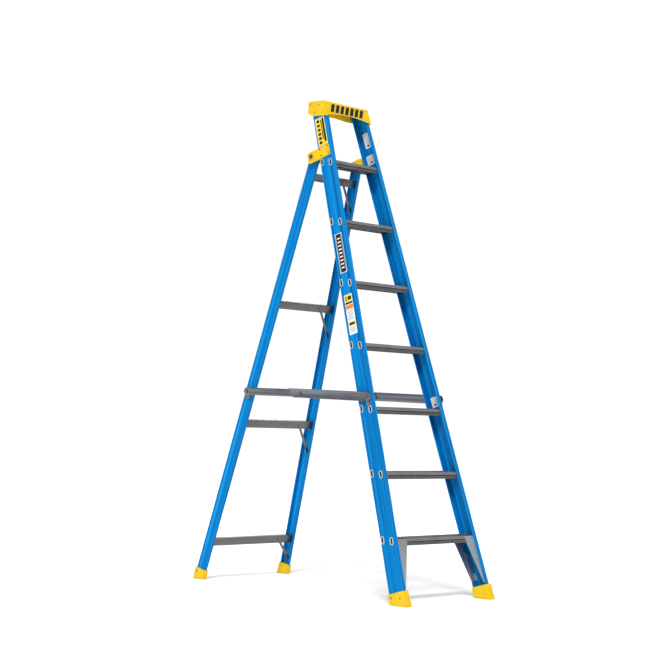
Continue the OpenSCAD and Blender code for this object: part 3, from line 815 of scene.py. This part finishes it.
# %% Cap stripes
CAP_FRONT = 0.0513
STRIPES = 7
STRIPE_PITCH = 0.0368
STRIPE_HEIGHT = 2.4080
STRIPE_SIZE = (0.025, 0.046, 0.0003)
STRIPE_LIFT = 0.00005
stripe_row = Vector((0, rail_y(STRIPE_HEIGHT) - CAP_FRONT, STRIPE_HEIGHT)) + lean_out * STRIPE_LIFT
stripe_places = [
    (stripe_row + Vector(((i - (STRIPES - 1) / 2) * STRIPE_PITCH, 0, 0)), on_skirt, STRIPE_SIZE)
    for i in range(STRIPES)]
stripes = scatter("cap_stripes", bar_shape, stripe_places, ink["black"])
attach(stripes, "front_frame")

# %% [markdown]
# ## Floor, light and camera
# A product studio has a pale seamless floor that runs on into the backdrop. We make it a wide
# disc just under the boots, with so faint a mottling that it reads as white.

# %% Floor
FLOOR_DROP = 0.0005


def floor():
    rings, sides, radius = 10, 64, 24.0
    bm = bmesh.new()
    centre = bm.verts.new((0, 0, 0))
    previous = None
    for r in range(1, rings + 1):
        ring = [bm.verts.new((radius * r / rings * math.cos(2 * math.pi * i / sides),
                              radius * r / rings * math.sin(2 * math.pi * i / sides), 0))
                for i in range(sides)]
        if previous:
            bridge(bm, ring, previous)
        else:
            for i in range(sides):
                bm.faces.new((centre, ring[i], ring[(i + 1) % sides]))
        previous = ring
    obj = bpy.data.objects.new("studio_floor", mesh_from(bm, "studio_floor"))
    bpy.context.scene.collection.objects.link(obj)
    obj.location.z = -FLOOR_DROP
    m, tree, shader = new_material("pale_floor")
    place = add(tree, "ShaderNodeTexCoord").outputs["Object"]
    tree.links.new(ramp(tree, noise(tree, place, 3.0), [(0.3, 0.97), (0.7, 0.99)]),
                   shader.inputs["Base Color"])
    shader.inputs["Roughness"].default_value = 0.9
    shader.inputs["Specular IOR Level"].default_value = 0.1
    obj.data.materials.append(m)


floor()
print("laid the floor", FLOOR_DROP * 1000, "mm under the boots")

# %% [markdown]
# A white world gives soft light from everywhere. A broad key light from high on the front left
# adds the direction that shapes need, and a weaker lamp behind keeps the rear legs from going
# flat. The world is shown white but lights the ladder with little more than half of that, so
# that the key can model the channels.

# %% Lights
KEY_STRENGTH = 2.4
KEY_ANGLE = math.radians(18)
KEY_DIRECTION = Vector((0.53, 0.36, -0.80))
WORLD_SEEN, WORLD_LIGHT = 1.05, 0.58


def area(name, place, target, size, power):
    lamp = bpy.data.lights.new(name, "AREA")
    lamp.shape = "DISK"
    lamp.size = size
    lamp.energy = power
    obj = bpy.data.objects.new(name, lamp)
    obj.location = place
    obj.rotation_euler = (Vector(target) - Vector(place)).to_track_quat("-Z", "Y").to_euler()
    bpy.context.scene.collection.objects.link(obj)


sun = bpy.data.lights.new("key", "SUN")
sun.energy = KEY_STRENGTH
sun.angle = KEY_ANGLE
sun_object = bpy.data.objects.new("key", sun)
sun_object.rotation_euler = KEY_DIRECTION.to_track_quat("-Z", "Y").to_euler()
bpy.context.scene.collection.objects.link(sun_object)
area("rim", place=(3.5, 5.0, 4.0), target=(0, 0, 1.2), size=3.0, power=120)
world = bpy.data.worlds.new("studio")
world.use_nodes = True
backdrop = world.node_tree.nodes["Background"]
backdrop.inputs["Color"].default_value = (1, 1, 1, 1)
seen = add(world.node_tree, "ShaderNodeLightPath").outputs["Is Camera Ray"]
strength = math_node(world.node_tree, "MULTIPLY_ADD", seen, WORLD_SEEN - WORLD_LIGHT, WORLD_LIGHT)
world.node_tree.links.new(strength, backdrop.inputs["Strength"])
bpy.context.scene.world = world
bpy.context.scene.view_settings.view_transform = "Standard"
print("lit with", len(bpy.data.lights), "lamps and a white world")

# %% [markdown]
# The camera stands well to the front left, a little under a metre up, and looks slightly
# upward with a long lens, so the rails stay nearly straight and the cap is seen from below.

# %% Camera
CAMERA_PLACE = Vector((-6.8143, -5.9254, 0.9251))
YAW, PITCH_UP, ROLL = 0.7294, 0.04314, 0.03976
LENS_MM = 99.47
ahead = Vector((math.cos(YAW) * math.cos(PITCH_UP), math.sin(YAW) * math.cos(PITCH_UP),
                math.sin(PITCH_UP)))
to_right = Vector((math.sin(YAW), -math.cos(YAW), 0))
upward = to_right.cross(ahead)
right_axis = math.cos(ROLL) * to_right + math.sin(ROLL) * upward
up_axis = -math.sin(ROLL) * to_right + math.cos(ROLL) * upward
camera = bpy.data.objects.new("camera", bpy.data.cameras.new("camera"))
camera.data.lens = LENS_MM
camera.data.sensor_width = 36.0
camera.matrix_world = (Matrix.Translation(CAMERA_PLACE)
                       @ Matrix((right_axis, up_axis, -ahead)).transposed().to_4x4())
bpy.context.scene.collection.objects.link(camera)
bpy.context.scene.camera = camera
